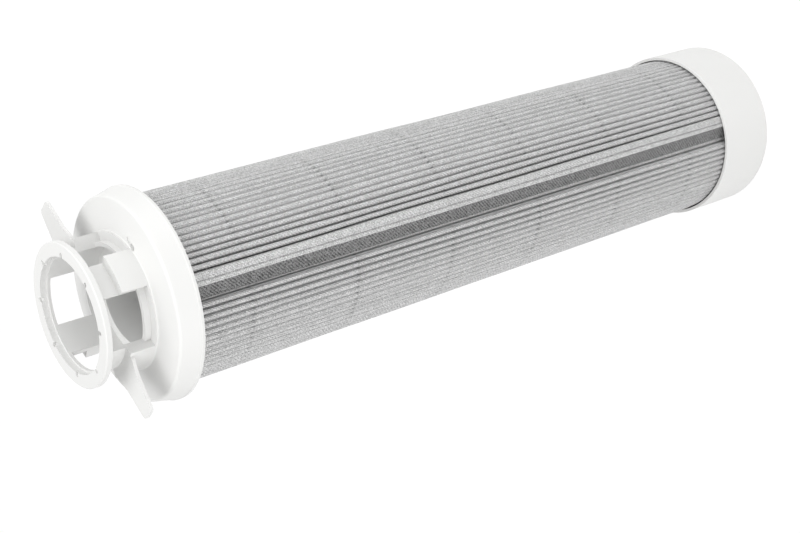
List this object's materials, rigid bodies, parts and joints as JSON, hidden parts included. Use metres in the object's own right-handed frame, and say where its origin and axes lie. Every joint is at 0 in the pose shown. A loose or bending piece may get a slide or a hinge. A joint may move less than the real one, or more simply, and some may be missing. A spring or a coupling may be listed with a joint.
{
  "type": "hydraulic filter element",
  "caption": "Pleated wire-mesh hydraulic filter cartridge with a moulded caged head, two side wings, a side seam and a deep closed end cap.",
  "frame": {"origin": "centre of the flat closed end, which the element stands on", "axes": "+Z along the element's axis towards the head; +X along one wing of the head, so the wings lie along X"},
  "size_m": [0.107, 0.098, 0.416],
  "materials": {
    "moulding": "pale moulded nylon, fine matte texture",
    "core_moulding": "pale moulded nylon",
    "wire_mesh": "woven grey steel wire",
    "fleece": "thin spunbond fleece",
    "media": "glass fibre filter media",
    "glue": "cured two-part adhesive"
  },
  "bodies": {
    "root": {"head_cap": "moulding", "head_glue": "glue", "outer_mesh": "wire_mesh", "outer_fleece": "fleece", "filter_media": "media", "inner_fleece": "fleece", "inner_mesh": "wire_mesh", "seam_glue": "glue", "core_tube": "core_moulding", "end_cap_glue": "glue", "end_cap": "moulding"}
  },
  "joints": []
}
